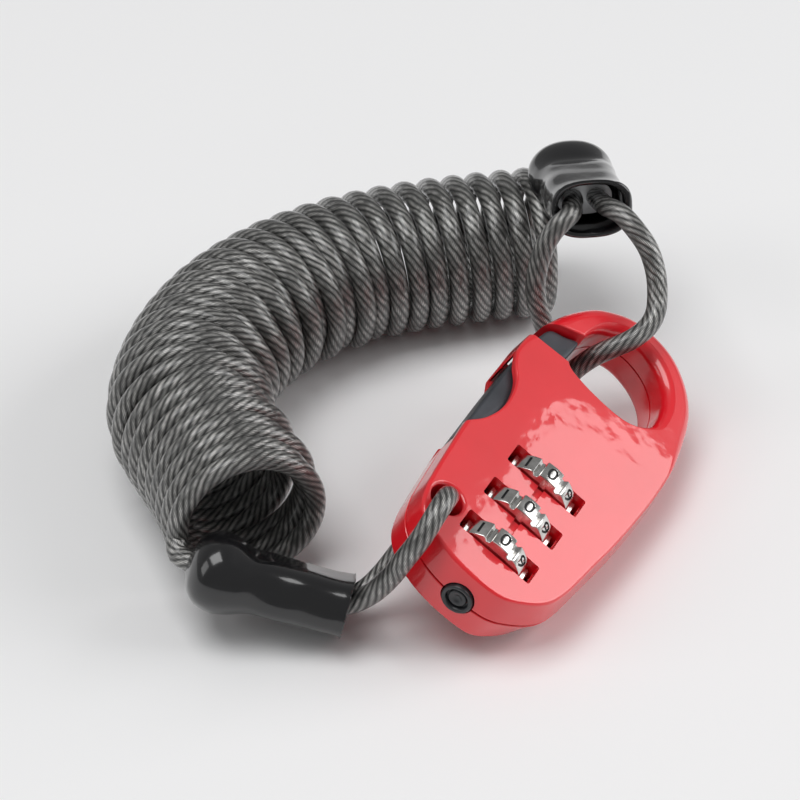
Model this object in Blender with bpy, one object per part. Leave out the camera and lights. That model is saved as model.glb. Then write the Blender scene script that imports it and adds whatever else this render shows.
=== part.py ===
"""Cable luggage lock: a carabiner-shaped three-dial lock on a self-coiling wire cable.

The lock is designed in its own frame: X across the face, Y along the spindle towards
the hook, Z out of the numbered face, with the middle dial's centre at the origin and
the two shells meeting at Z = 0.  The lock_frame empty seats it as it lies, rolled
about Y with its right edge on the ground.  The cable's pieces are placed in world
coordinates, on the ground beside it.  All sizes are millimetres; MM turns them into
metres where a mesh is made.
"""
import math

import bmesh
import bpy
from mathutils import Matrix, Vector

MM = 0.001

# The lock as it lies: its own frame in the world
ROLL = math.radians(33)
SEAT = Vector((0.2, -16.82, 11.37))
LOCK_FRAME = Matrix.Translation(SEAT * MM) @ Matrix.Rotation(ROLL, 4, "Y")

# Clearance between pieces that touch
GAP = 0.3

# Shells
FACE_Z = 4.8
BACK_Z = -5.0
EDGE_BEVEL = 0.6
SEAM_GAP = 0.3
OUTLINE = [(0, -17.5), (5, -16.9), (8.8, -14.3), (11.5, -11), (12.9, -6.5), (13.9, 1), (14.8, 8),
           (15.4, 15.5), (15.7, 23), (15.5, 30), (14.8, 36.5), (13.1, 42.3), (10.1, 46.8), (5.7, 50.2),
           (0.6, 51.5), (-4.7, 50.8), (-9.1, 47.7), (-11.8, 43.2), (-13.8, 38), (-15.3, 31.5), (-15.4, 25),
           (-15.2, 16), (-15.1, 8), (-14.8, 2), (-14.4, -4), (-13.9, -8.5), (-12.7, -12.2), (-10, -15),
           (-5.4, -16.9)]
HOLE = [(-7.7, 31.9), (-4.5, 30.5), (1, 29.9), (5, 30.3), (7.6, 32.2), (8.5, 35.4), (7.9, 39.3),
        (5.9, 42.9), (2.6, 45.3), (-1.5, 46), (-5, 44.2), (-7.5, 40.8), (-8.3, 36)]
GATE_GAP = [(-20, 31.2), (-6.5, 32), (-6.5, 39.6), (-20, 33.5)]
THUMB_SCOOP = [(-22, 27), (-15.4, 26.8), (-14.1, 23.6), (-12.5, 21), (-11.7, 17.6), (-11.8, 14),
               (-12.9, 10.5), (-14.6, 7.8), (-16, 5.4), (-22, 5)]

# Dials, windows and hubs, along the spindle (Y)
DIAL_PITCH = 8.5
DIAL_CENTRES = [DIAL_PITCH, 0.0, -DIAL_PITCH]
DIGITS = 10
DIAL_RADIUS = 6.6
DIAL_GROOVE_RADIUS = 6.0
DIAL_THICKNESS = 3.4
DIAL_BORE = 2.85
DIAL_KEYWAY = 3.4
WINDOW_LENGTH = 13.2
WINDOW_WIDTH = 4.1
POCKET_RADIUS = 7.1
HUB_BORE = 1.6
HUB_RADIUS = 2.7
KEY_RADIUS = 3.2
FLANGE_RADIUS = 3.6
FLANGE_OFFSET = 4.2
FLANGE_THICKNESS = 1.2
CHAMBER_RADIUS = 3.8
CHAMBER = (-14.9, 18.6)

# Spindle and reset button
SPINDLE_RADIUS = 1.45
SPINDLE = (-15.0, 14.4)
COLLAR_RADIUS = 2.4
BUTTON_RADIUS = 2.45
BUTTON_BORE = 2.65
BUTTON = (-17.9, -14.6)
BUTTON_FLANGE = (3.3, 0.8)
SPRING_WIRE = 0.22

# Gate, its pin and the locking comb
GATE_PIVOT = Vector((-13.1, 5.6, 0))
GATE_HALF = 3.3
GATE_OUTLINE = [(-13.1, 3.1), (-11, 3.9), (-10.3, 6), (-10.3, 9), (-10.9, 12.2), (-11, 14), (-10, 18.5),
                (-9.1, 24), (-8.5, 29), (-8.3, 33), (-8.1, 36), (-8.3, 38.3), (-10.5, 37.3), (-12.8, 36.3),
                (-13.6, 33.6), (-14.2, 30.6), (-14.4, 28), (-14.5, 25), (-14.6, 20), (-14.6, 12),
                (-14.6, 7), (-14.3, 4.2)]
GATE_CAVITY = [(-14.8, 34), (-14.8, 26.5), (-16.4, 24), (-16.4, 6), (-14.2, 3), (-13.6, 2.6), (-10.7, 3.2),
               (-9.4, 8), (-7.9, 13.5), (-5.8, 19), (-1.7, 29.4), (-1, 34)]
CAVITY_HALF = 3.6
PIN_RADIUS = 0.9
PIN_CLEARANCE = 0.1
SPRING_SLOT = 1.0
COMB_BAR = (-9.9, -8.7)
COMB_HALF = 1.1
COMB_TIP = -4.9
COMB_FINGER = 1.0
COMB_TRAVEL = 1.0

# Fasteners, detent leaf and eyelet
CASE_PINS = [(10.2, -8.6), (11.2, 14.5), (-8.6, -13.1)]
CASE_PIN_RADIUS = 1.1
CASE_PIN_HALF = 3.5
LEAF = (7.45, 7.85)
LEAF_HALF = (11.2, 3.0)
EYELET = Vector((-10.1, -7.9, 0))
EYELET_RADIUS = 2.6
EYELET_FLARE = 0.5

# Cable: wire rope in a clear sheath, one length from ferrule to ferrule, in world coordinates
CABLE_RADIUS = 1.6
COIL_RADIUS = 12.15
COIL_ROUTE = [(-27.24, 51.2), (-33.54, 46.7), (-42.74, 39.3), (-50.74, 30.6), (-56.54, 20.4), (-59.34, 9),
              (-58.64, -2.6), (-54.94, -12.8), (-48.34, -19.2), (-41.94, -24.6), (-36.04, -30.8)]
FAR_LEAD_TURN = (math.radians(-312), math.radians(-32))
FAR_LEAD_AHEAD = (1.9, 7.6)
NEAR_LEAD = [(-42.14, -39.6, 12.1), (-41.94, -40.5, 11.3), (-41.34, -41.3, 10.8), (-41.04, -41.6, 10.6)]
NEAR_LOOP = [(-21.54, -39, 7.4), (-18.64, -38.2, 6.9), (-15.74, -37.2, 6.9), (-12.34, -36.1, 9.4),
             (-9.54, -35.7, 13.2), (-7.24, -36, 17.4), (-5.04, -34.8, 21.4), (-4.24, -31.6, 23.7),
             (-4.34, -28.2, 23.8), (-5.24, -25.7, 22), (-6.74, -24.4, 19.2), (-8.44, -24.3, 16.2),
             (-10.44, -25.1, 13.2), (-12.34, -26.8, 10.4), (-13.74, -28.9, 7.9), (-15.24, -31.4, 6),
             (-17.34, -33.8, 4.9), (-19.94, -35.3, 4.9), (-22.74, -36.3, 5.5)]
FAR_LOOP = [(-15.84, 44.1, 28.1), (-14.94, 41.4, 29), (-13.74, 38.8, 29.7), (-13.54, 36.7, 30.1),
            (-14.54, 35, 29), (-15.74, 33.6, 26.5), (-16.34, 32, 23.2), (-16.24, 30.6, 19.8),
            (-15.34, 29.8, 16.6), (-14.14, 29.5, 13.8), (-13.14, 28.8, 11.6), (-12.04, 25.8, 10.2),
            (-9.94, 22.8, 9.7), (-7.24, 22.9, 10.7), (-5.14, 23, 13.2), (-2.84, 23.5, 15.5),
            (-0.34, 24.8, 17), (1.96, 26.4, 18.2), (3.36, 29, 19.2), (3.66, 31.2, 20.4), (3.16, 33.1, 22),
            (1.96, 35.2, 24.8), (-0.14, 36.9, 27.8), (-3.14, 38.1, 30.2), (-5.94, 39.2, 31.4),
            (-8.54, 40.6, 30.9), (-10.54, 43.3, 29.4), (-12.64, 46.1, 28.1)]

# Dipped caps over the crimps: closed end, mouth, and the direction their thin side faces
CAPS = {"near": (Vector((-38.64, -42.9, 10.6)), Vector((-16.34, -35.9, 5.3)), Vector((0, 0.5, 0.87))),
        "far": (Vector((-23.44, 59.4, 22.4)), Vector((-11.14, 40.3, 30)), Vector((0, 0, 1)))}
CAP_OUTSIDE = [(0, 2.2, 2), (0.7, 4.4, 3.9), (2.2, 6.2, 5.3), (4.6, 7, 5.9), (7.5, 6.8, 5.5),
               (11, 6.2, 4.8), (17, 6.1, 4.6), (23.6, 6.3, 4.7)]
CAP_INSIDE = [(23.6, 5.2, 3.75), (20, 5, 3.5), (7.5, 4.8, 3.4)]
FERRULE = (4.4, 2.6)
FERRULE_SPAN = (8.2, 17.3)


# ---------------------------------------------------------------- building helpers
def make_material(name, colour, roughness, metallic=0.0):
    """A Principled material with one colour."""
    material = bpy.data.materials.new(name)
    material.use_nodes = True
    shader = material.node_tree.nodes["Principled BSDF"]
    shader.inputs["Base Color"].default_value = (*colour, 1)
    shader.inputs["Roughness"].default_value = roughness
    shader.inputs["Metallic"].default_value = metallic
    material.diffuse_color = (*colour, 1)
    return material


def new_object(name, bm, material=None, origin=(0, 0, 0), parent=None):
    """Turn a bmesh in millimetres, drawn in its parent's frame, into an object at origin."""
    bmesh.ops.translate(bm, verts=bm.verts, vec=-Vector(origin))
    bmesh.ops.scale(bm, verts=bm.verts, vec=(MM, MM, MM))
    bmesh.ops.recalc_face_normals(bm, faces=bm.faces)
    mesh = bpy.data.meshes.new(name)
    bm.to_mesh(mesh)
    bm.free()
    item = bpy.data.objects.new(name, mesh)
    item.location = Vector(origin) * MM
    item.parent = parent
    if material:
        mesh.materials.append(material)
        mesh.shade_smooth()
        mesh.set_sharp_from_angle(angle=math.radians(35))
    bpy.context.collection.objects.link(item)
    return item


def carve(item, cutter, operation="DIFFERENCE"):
    """Cut (or join) a hidden helper shape into an object."""
    cutter.hide_render = True
    cutter.display_type = "WIRE"
    step = item.modifiers.new(cutter.name, "BOOLEAN")
    step.operation = operation
    step.solver = "EXACT"
    step.object = cutter


def catmull_rom(points, per_span, closed):
    """Points along a smooth curve through the given ones."""
    points = [Vector(p) for p in points]
    count = len(points)
    curve = []
    for i in range(count if closed else count - 1):
        if closed:
            a, b, c, d = (points[(i + k) % count] for k in (-1, 0, 1, 2))
        else:
            a, b, c, d = (points[min(max(i + k, 0), count - 1)] for k in (-1, 0, 1, 2))
        for step in range(per_span):
            t = step / per_span
            curve.append(0.5 * (2 * b + (c - a) * t + (2 * a - 5 * b + 4 * c - d) * t ** 2
                                + (3 * b - a - 3 * c + d) * t ** 3))
    if not closed:
        curve.append(points[-1])
    return curve


def inset(outline, distances):
    """An anticlockwise outline moved inwards along its vertex normals, each point by its own distance."""
    moved = []
    for i, (point, distance) in enumerate(zip(outline, distances)):
        tangent = (outline[(i + 1) % len(outline)] - outline[i - 1]).normalized()
        moved.append(point + distance * Vector((-tangent.y, tangent.x)))
    return moved


def loft(rings):
    """A closed solid through rings of equal point counts."""
    bm = bmesh.new()
    loops = [[bm.verts.new(point) for point in ring] for ring in rings]
    count = len(loops[0])
    for low, high in zip(loops, loops[1:]):
        for i in range(count):
            j = (i + 1) % count
            bm.faces.new((low[i], low[j], high[j], high[i]))
    bm.faces.new(list(reversed(loops[0])))
    bm.faces.new(loops[-1])
    return bm


def prism(outline, z_low, z_high):
    """An outline in XY given thickness along Z."""
    return loft([[(p[0], p[1], z) for p in outline] for z in (z_low, z_high)])


def lathe(profile, axis="Y", centre=(0, 0, 0), segments=48):
    """A solid of revolution from (radius, distance along the axis) pairs, lowest first."""
    rings = []
    for radius, along in profile:
        ring = []
        for k in range(segments):
            turn = 2 * math.pi * (k + 0.5) / segments
            u = radius * math.cos(turn)
            v = radius * math.sin(turn)
            local = Vector((v, along, u)) if axis == "Y" else Vector((u, v, along))
            ring.append(local + Vector(centre))
        rings.append(ring)
    return loft(rings)


def rod(radius, low, high, axis="Y", centre=(0, 0, 0), segments=48):
    return lathe([(radius, low), (radius, high)], axis, centre, segments)


def box(low, high):
    corners = [(low[0], low[1]), (high[0], low[1]), (high[0], high[1]), (low[0], high[1])]
    return prism(corners, low[2], high[2])


def helix_spring(centre, axis, radius, wire, pitch, turns, sides=6, steps=14):
    """An open coil spring as one swept solid."""
    rings = []
    for k in range(int(turns * steps) + 1):
        turn = 2 * math.pi * k / steps
        out = Vector((math.cos(turn), math.sin(turn), 0))
        along = pitch * k / steps
        ring = []
        for s in range(sides):
            angle = 2 * math.pi * s / sides
            p = out * (radius + wire * math.cos(angle)) + Vector((0, 0, along + wire * math.sin(angle)))
            local = Vector((p.y, p.z, p.x)) if axis == "Y" else p
            ring.append(local + Vector(centre))
        rings.append(ring)
    return loft(rings)


def frame_along(start, end, up=(0, 0, 1)):
    """A matrix at start whose X axis points at end and whose Z axis is nearest to up."""
    x = (Vector(end) - Vector(start)).normalized()
    y = Vector(up).cross(x).normalized()
    z = x.cross(y)
    matrix = Matrix((x, y, z)).transposed().to_4x4()
    matrix.translation = Vector(start)
    return matrix


# ---------------------------------------------------------------- case
def smoothstep(low, high, x):
    t = min(1.0, max(0.0, (x - low) / (high - low)))
    return t * t * (3 - 2 * t)


def wall_draft(point, side):
    """How far a shell's wall leans in: little on the left, most at the back's right edge."""
    if side > 0:
        return 0.2 + 0.6 * smoothstep(-13, -7, point.x)
    return 0.2 + 1.75 * smoothstep(4, 15, point.x)


def shell_blank(name, z_seam, z_face, material, lock):
    """One shell before cutting: drafted wall, bevelled edge, flat face."""
    seam = catmull_rom(OUTLINE, 4, closed=True)
    side = 1 if z_face > 0 else -1
    drafts = [wall_draft(p, side) for p in seam]
    levels = [([0] * len(seam), z_seam), (drafts, z_face - side * EDGE_BEVEL),
              ([draft + EDGE_BEVEL for draft in drafts], z_face)]
    rings = [[(p.x, p.y, z) for p in inset(seam, offsets)] for offsets, z in levels]
    return new_object(name, loft(rings), material, parent=lock)


def case_cutters(lock):
    """Every opening that the two shells share."""
    cutters = []

    def cutter(name, bm):
        cutters.append(new_object("cut_" + name, bm, parent=lock))

    cutter("shackle_hole", prism(catmull_rom(HOLE, 4, closed=True), -9, 9))
    cutter("gate_gap", prism(GATE_GAP, -9, 9))
    scoop = catmull_rom(THUMB_SCOOP[1:-1], 4, closed=False)
    cutter("thumb_scoop", prism([THUMB_SCOOP[0], *scoop, THUMB_SCOOP[-1]], -9, 9))
    cutter("gate_cavity", prism(GATE_CAVITY, -CAVITY_HALF, CAVITY_HALF))
    for i, y in enumerate(DIAL_CENTRES, 1):
        half = WINDOW_WIDTH / 2
        cutter(f"dial_pocket_{i}", rod(POCKET_RADIUS, y - half, y + half, segments=64))
        for label, z_low, z_high in (("front", 3, 9), ("back", -9, -3)):
            cutter(f"window_{label}_{i}", box((-WINDOW_LENGTH / 2, y - half, z_low),
                                              (WINDOW_LENGTH / 2, y + half, z_high)))
        finger = y + FLANGE_OFFSET
        cutter(f"comb_slot_{i}", box((COMB_BAR[0] + 0.4, finger - 0.8, -COMB_HALF - GAP),
                                     (-3, finger + 0.8, COMB_HALF + GAP)))
    cutter("hub_chamber", rod(CHAMBER_RADIUS, *CHAMBER))
    cutter("button_bore", rod(BUTTON_BORE, -22, CHAMBER[0] + 0.5))
    comb_low = DIAL_CENTRES[-1] + FLANGE_OFFSET - 0.8
    comb_high = DIAL_CENTRES[0] + FLANGE_OFFSET + 0.8
    cutter("comb_way", box((COMB_BAR[0] - GAP, comb_low, -COMB_HALF - GAP),
                           (-6.8, comb_high, COMB_HALF + GAP)))
    cutter("leaf_slot", box((6.8, -LEAF_HALF[0] - GAP, -LEAF_HALF[1] - GAP),
                            (LEAF[1] + GAP, LEAF_HALF[0] + GAP, LEAF_HALF[1] + GAP)))
    cutter("pivot_bore", rod(PIN_RADIUS + PIN_CLEARANCE, -4.1, 4.1, "Z", GATE_PIVOT, 24))
    for i, (x, y) in enumerate(CASE_PINS, 1):
        cutter(f"case_pin_bore_{i}", rod(CASE_PIN_RADIUS + PIN_CLEARANCE, -CASE_PIN_HALF - GAP,
                                         CASE_PIN_HALF + GAP, "Z", (x, y, 0), 24))
    flare = EYELET_RADIUS + EYELET_FLARE
    cutter("eyelet", lathe([(flare + 4, BACK_Z - 4), (flare, BACK_Z), (EYELET_RADIUS, BACK_Z + 0.7),
                            (EYELET_RADIUS, FACE_Z - 0.7), (flare, FACE_Z), (flare + 4, FACE_Z + 4)],
                           "Z", EYELET, 36))
    return cutters


def build_case(lock, paint):
    shells = [shell_blank("top_shell", SEAM_GAP / 2, FACE_Z, paint, lock),
              shell_blank("bottom_shell", -SEAM_GAP / 2, BACK_Z, paint, lock)]
    for cutter in case_cutters(lock):
        for shell in shells:
            carve(shell, cutter)


# ---------------------------------------------------------------- combination
def build_dial(index, y, lock, nickel):
    """A dial wheel: ten raised number pads with grooves between, and a keyed bore."""
    pad = 2 * math.pi / DIGITS
    shape = [(-0.5, DIAL_GROOVE_RADIUS), (-0.41, DIAL_GROOVE_RADIUS + 0.1), (-0.36, DIAL_RADIUS - 0.1),
             (-0.2, DIAL_RADIUS), (0, DIAL_RADIUS), (0.2, DIAL_RADIUS), (0.36, DIAL_RADIUS - 0.1),
             (0.41, DIAL_GROOVE_RADIUS + 0.1)]
    rim = [(r * math.sin((k + t) * pad), r * math.cos((k + t) * pad))
           for k in range(DIGITS) for t, r in shape]
    half = DIAL_THICKNESS / 2
    rings = [[(x, y + along, z) for x, z in rim] for along in (-half, half)]
    name = f"dial_{index}"
    centre = (0, y, 0)
    dial = new_object(name, loft(rings), nickel, centre, lock)
    for label, bm in (("bore", rod(DIAL_BORE, y - 3, y + 3)),
                      ("counterbore", rod(DIAL_KEYWAY, y + 0.05, y + 3)),
                      ("keyway", box((0, y - 3, -0.75), (DIAL_KEYWAY, y + 1, 0.75)))):
        carve(dial, new_object(f"cut_{name}_{label}", bm, parent=lock))


def build_hub(index, y, lock, brass):
    """The code cam in a dial: sleeve with a drive key, and a slotted flange."""
    start = y + FLANGE_OFFSET - FLANGE_THICKNESS / 2
    end = start + FLANGE_THICKNESS
    name = f"hub_{index}"
    hub = new_object(name, lathe([(HUB_RADIUS, y - 1.9), (HUB_RADIUS, start), (FLANGE_RADIUS, start),
                                  (FLANGE_RADIUS, end)]), brass, (0, y, 0), lock)
    key = new_object(f"cut_{name}_key", box((2, y - 1.3, -0.5), (KEY_RADIUS, y - 0.1, 0.5)), parent=lock)
    carve(hub, key, "UNION")
    slot = box((-FLANGE_RADIUS - 1, start - 0.5, -0.9), (-2.9, end + 0.5, 0.9))
    carve(hub, new_object(f"cut_{name}_slot", slot, parent=lock))
    carve(hub, new_object(f"cut_{name}_bore", rod(HUB_BORE, y - 5, y + 7), parent=lock))


def build_spacer(index, y, lock, steel):
    """The collar that keeps two hubs apart on the spindle."""
    low = y + FLANGE_OFFSET + FLANGE_THICKNESS / 2 + 0.2
    high = y + DIAL_PITCH - 1.9 - 0.2
    spacer = new_object(f"spacer_{index}", rod(COLLAR_RADIUS, low, high), steel, (0, low, 0), lock)
    carve(spacer, new_object(f"cut_spacer_{index}_bore", rod(HUB_BORE, low - 1, high + 1), parent=lock))


def build_spindle(lock, steel):
    low, high = SPINDLE
    profile = [(SPINDLE_RADIUS, low), (SPINDLE_RADIUS, high - 0.8), (COLLAR_RADIUS, high - 0.8),
               (COLLAR_RADIUS, high)]
    new_object("spindle", lathe(profile), steel, (0, low, 0), lock)


def build_reset_button(lock, dark):
    """A round push button with a stepped, dimpled end, seated on the spindle."""
    low, high = BUTTON
    flange_radius, flange_depth = BUTTON_FLANGE
    profile = [(0.35, low + 0.75), (0.7, low + 0.45), (1.3, low + 0.4), (1.45, low + 0.7),
               (1.75, low + 0.7), (1.85, low + 0.1), (2.3, low), (BUTTON_RADIUS, low + 0.15),
               (BUTTON_RADIUS, high), (flange_radius, high), (flange_radius, high + flange_depth)]
    button = new_object("reset_button", lathe(profile), dark, (0, low, 0), lock)
    bore = rod(SPINDLE_RADIUS + 0.15, SPINDLE[0] - GAP, high + 2)
    carve(button, new_object("cut_button_bore_inner", bore, parent=lock))


def build_spindle_spring(lock, steel):
    start = SPINDLE[1] + SPRING_WIRE + 0.1
    spring = helix_spring((0, start, 0), "Y", 1.9, SPRING_WIRE, 0.75, 3)
    new_object("spindle_spring", spring, steel, (0, start, 0), lock)


def build_detent_leaf(lock, steel):
    """A leaf spring beside the dials, with a nose at each one."""
    outline = [(LEAF[1], -LEAF_HALF[0]), (LEAF[1], LEAF_HALF[0]), (LEAF[0], LEAF_HALF[0])]
    for y in DIAL_CENTRES:
        outline += [(LEAF[0], y + 1.2), (6.95, y + 0.4), (6.95, y - 0.4), (LEAF[0], y - 1.2)]
    outline.append((LEAF[0], -LEAF_HALF[0]))
    new_object("detent_leaf", prism(outline, -LEAF_HALF[1], LEAF_HALF[1]), steel,
               (LEAF[1], 0, 0), lock)


# ---------------------------------------------------------------- gate
def build_gate(lock, dark):
    """The sprung shackle arm: a bevelled lever forked round its return spring."""
    outline = catmull_rom([(x, y) for x, y in GATE_OUTLINE], 2, closed=True)
    levels = [(0.45, -GATE_HALF), (0, -GATE_HALF + 0.45), (0, GATE_HALF - 0.45), (0.45, GATE_HALF)]
    rings = [[(p.x, p.y, z) for p in inset(outline, [offset] * len(outline))] for offset, z in levels]
    gate = new_object("gate", loft(rings), dark, GATE_PIVOT, lock)
    bore = rod(PIN_RADIUS + PIN_CLEARANCE, -6, 6, "Z", GATE_PIVOT, 24)
    carve(gate, new_object("cut_gate_bore", bore, parent=lock))
    slot = rod(2.0, -SPRING_SLOT, SPRING_SLOT, "Z", GATE_PIVOT, 32)
    carve(gate, new_object("cut_gate_spring_pocket", slot, parent=lock))


def build_gate_pivot(lock, steel):
    pin = rod(PIN_RADIUS, -4.0, 4.0, "Z", GATE_PIVOT, 24)
    new_object("gate_pivot_pin", pin, steel, GATE_PIVOT, lock)
    base = GATE_PIVOT + Vector((0, 0, -0.7))
    new_object("gate_spring", helix_spring(base, "Z", 1.5, 0.2, 0.55, 2.5), steel, GATE_PIVOT, lock)


def build_comb(lock, steel):
    """The locking comb: a bar that the gate pushes, with one finger for each hub."""
    low = DIAL_CENTRES[-1] + FLANGE_OFFSET - COMB_FINGER / 2
    high = DIAL_CENTRES[0] + FLANGE_OFFSET + COMB_FINGER / 2
    outline = [(COMB_BAR[0], high), (COMB_BAR[0], low)]
    for y in reversed(DIAL_CENTRES):
        near = y + FLANGE_OFFSET - COMB_FINGER / 2
        far = near + COMB_FINGER
        outline += [(COMB_BAR[1], near), (COMB_TIP, near), (COMB_TIP, far), (COMB_BAR[1], far)]
    new_object("locking_comb", prism(outline, -COMB_HALF, COMB_HALF), steel,
               (COMB_BAR[0], 0, 0), lock)


def build_case_pins(lock, steel):
    for i, (x, y) in enumerate(CASE_PINS, 1):
        pin = rod(CASE_PIN_RADIUS, -CASE_PIN_HALF, CASE_PIN_HALF, "Z", (x, y, 0), 24)
        new_object(f"case_pin_{i}", pin, steel, (x, y, 0), lock)


# ---------------------------------------------------------------- cable
def tube(name, route, radius, step, material, resolution):
    """A bevelled curve through points read every step millimetres along a smooth route."""
    smooth = catmull_rom(route, 24, closed=False)
    travelled = [0.0]
    for a, b in zip(smooth, smooth[1:]):
        travelled.append(travelled[-1] + (b - a).length)
    count = max(2, round(travelled[-1] / step) + 1)
    curve = bpy.data.curves.new(name, "CURVE")
    curve.dimensions = "3D"
    curve.bevel_depth = radius * MM
    curve.bevel_resolution = resolution
    curve.use_fill_caps = True
    spline = curve.splines.new("POLY")
    spline.points.add(count - 1)
    index = 0
    for k in range(count):
        target = travelled[-1] * k / (count - 1)
        while index < len(smooth) - 2 and travelled[index + 1] < target:
            index += 1
        t = (target - travelled[index]) / (travelled[index + 1] - travelled[index])
        point = smooth[index].lerp(smooth[index + 1], t) * MM
        spline.points[k].co = (*point, 1)
    curve.materials.append(material)
    item = bpy.data.objects.new(name, curve)
    bpy.context.collection.objects.link(item)
    return item


def far_lead_route():
    """The coil's last turn at its far end, which climbs round into the far cap."""
    end = Vector((*COIL_ROUTE[0], COIL_RADIUS))
    ahead = (end - Vector((*COIL_ROUTE[1], COIL_RADIUS))).normalized()
    front = ahead.cross(Vector((0, 0, 1)))
    steps = 22
    start, stop = FAR_LEAD_TURN
    route = []
    for k in range(steps + 1):
        share = k / steps
        angle = start + (stop - start) * share
        ease = max(0.0, 2 * share - 1) ** 2
        along = FAR_LEAD_AHEAD[0] + (FAR_LEAD_AHEAD[1] - FAR_LEAD_AHEAD[0]) * ease
        around = Vector((0, 0, math.cos(angle))) + front * math.sin(angle)
        route.append(end + ahead * along + around * (COIL_RADIUS - CABLE_RADIUS))
    return route


def oval(frame, x, half_width, half_height, count=28, power=2.5):
    """A rounded-rectangle ring across a cap's axis."""
    ring = []
    for k in range(count):
        turn = 2 * math.pi * k / count
        c, s = math.cos(turn), math.sin(turn)
        y = half_width * math.copysign(abs(c) ** (2 / power), c)
        z = half_height * math.copysign(abs(s) ** (2 / power), s)
        ring.append(frame @ Vector((x, y, z)))
    return ring


def build_loop_end(label, vinyl, aluminium):
    """A dipped cap with an open mouth, and the crimped ferrule inside it."""
    closed, mouth, up = CAPS[label]
    frame = frame_along(closed, mouth, up)
    sections = CAP_OUTSIDE + CAP_INSIDE
    cap = loft([oval(frame, x, width, height) for x, width, height in sections])
    new_object(f"{label}_cap", cap, vinyl, closed)
    low, high = FERRULE_SPAN
    ferrule = loft([oval(frame, x, *FERRULE) for x in (low, high)])
    new_object(f"{label}_ferrule", ferrule, aluminium, frame @ Vector((low, 0, 0)))


def build_cable(sheath):
    coil = [(x, y, COIL_RADIUS) for x, y in COIL_ROUTE]
    tube("coil", coil, COIL_RADIUS, 5, sheath, 4)
    tube("near_lead", NEAR_LEAD, CABLE_RADIUS, 2.5, sheath, 2)
    tube("far_lead", far_lead_route(), CABLE_RADIUS, 3.4, sheath, 2)
    tube("near_loop", NEAR_LOOP, CABLE_RADIUS, 3, sheath, 2)
    tube("far_loop", FAR_LOOP, CABLE_RADIUS, 3.2, sheath, 2)


def main():
    for item in list(bpy.data.objects):
        bpy.data.objects.remove(item, do_unlink=True)
    lock = bpy.data.objects.new("lock_frame", None)
    lock.matrix_world = LOCK_FRAME
    bpy.context.collection.objects.link(lock)

    paint = make_material("red_paint", (0.72, 0.008, 0.016), 0.12)
    nickel = make_material("nickel_plate", (0.72, 0.71, 0.69), 0.22, 1.0)
    satin = make_material("gate_coating", (0.035, 0.04, 0.045), 0.45, 0.6)
    dark = make_material("button_coating", (0.025, 0.027, 0.03), 0.4, 0.3)
    steel = make_material("steel", (0.55, 0.56, 0.58), 0.3, 1.0)
    brass = make_material("brass", (0.7, 0.5, 0.22), 0.3, 1.0)
    aluminium = make_material("aluminium", (0.7, 0.71, 0.72), 0.4, 1.0)
    sheath = make_material("cable_sheath", (0.16, 0.16, 0.16), 0.2)
    vinyl = make_material("black_vinyl", (0.008, 0.008, 0.01), 0.12)

    build_case(lock, paint)
    for index, y in enumerate(DIAL_CENTRES, 1):
        build_dial(index, y, lock, nickel)
        build_hub(index, y, lock, brass)
        if index > 1:
            build_spacer(index - 1, y, lock, steel)
    build_spindle(lock, steel)
    build_reset_button(lock, dark)
    build_spindle_spring(lock, steel)
    build_detent_leaf(lock, steel)
    build_gate(lock, satin)
    build_gate_pivot(lock, steel)
    build_comb(lock, steel)
    build_case_pins(lock, steel)
    build_cable(sheath)
    for label in CAPS:
        build_loop_end(label, vinyl, aluminium)


main()
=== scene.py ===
import math

import bmesh
import bpy
from mathutils import Matrix, Vector


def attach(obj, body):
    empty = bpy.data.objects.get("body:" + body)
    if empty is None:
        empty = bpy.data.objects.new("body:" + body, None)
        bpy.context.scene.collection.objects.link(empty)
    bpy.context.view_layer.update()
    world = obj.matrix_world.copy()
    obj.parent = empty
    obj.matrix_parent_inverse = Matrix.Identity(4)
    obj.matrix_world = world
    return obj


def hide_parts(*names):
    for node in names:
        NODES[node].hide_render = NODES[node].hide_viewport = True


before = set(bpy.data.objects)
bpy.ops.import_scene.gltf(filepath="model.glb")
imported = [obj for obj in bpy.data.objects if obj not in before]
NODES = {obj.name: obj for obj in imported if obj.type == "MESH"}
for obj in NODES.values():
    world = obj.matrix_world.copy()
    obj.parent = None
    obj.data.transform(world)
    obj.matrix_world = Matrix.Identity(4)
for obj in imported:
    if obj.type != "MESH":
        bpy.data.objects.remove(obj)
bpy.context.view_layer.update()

MM = 0.001

# ------------------------------------------------------------------ the lock's own frame
# X across the numbered face, Y along the spindle to the hook, Z out of the face, in mm
ROLL = math.radians(33)
SEAT = Vector((0.2, -16.82, 11.37))
LOCK = Matrix.Translation(SEAT) @ Matrix.Rotation(ROLL, 4, "Y")

FACE_Z = 4.8
BACK_Z = -5.0
SEAM = 0.15
OUTLINE = [(0, -17.5), (5, -16.9), (8.8, -14.3), (11.5, -11), (12.9, -6.5), (13.9, 1), (14.8, 8),
           (15.4, 15.5), (15.7, 23), (15.5, 30), (14.8, 36.5), (13.1, 42.3), (10.1, 46.8), (5.7, 50.2),
           (0.6, 51.5), (-4.7, 50.8), (-9.1, 47.7), (-11.8, 43.2), (-13.8, 38), (-15.3, 31.5), (-15.4, 25),
           (-15.2, 16), (-15.1, 8), (-14.8, 2), (-14.4, -4), (-13.9, -8.5), (-12.7, -12.2), (-10, -15),
           (-5.4, -16.9)]
HOLE = [(-7.7, 31.9), (-4.5, 30.5), (1, 29.9), (5, 30.3), (7.6, 32.2), (8.5, 35.4), (7.9, 39.3),
        (5.9, 42.9), (2.6, 45.3), (-1.5, 46), (-5, 44.2), (-7.5, 40.8), (-8.3, 36)]
GATE_GAP = [(-20, 31.2), (-6.5, 32), (-6.5, 39.6), (-20, 33.5)]
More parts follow.
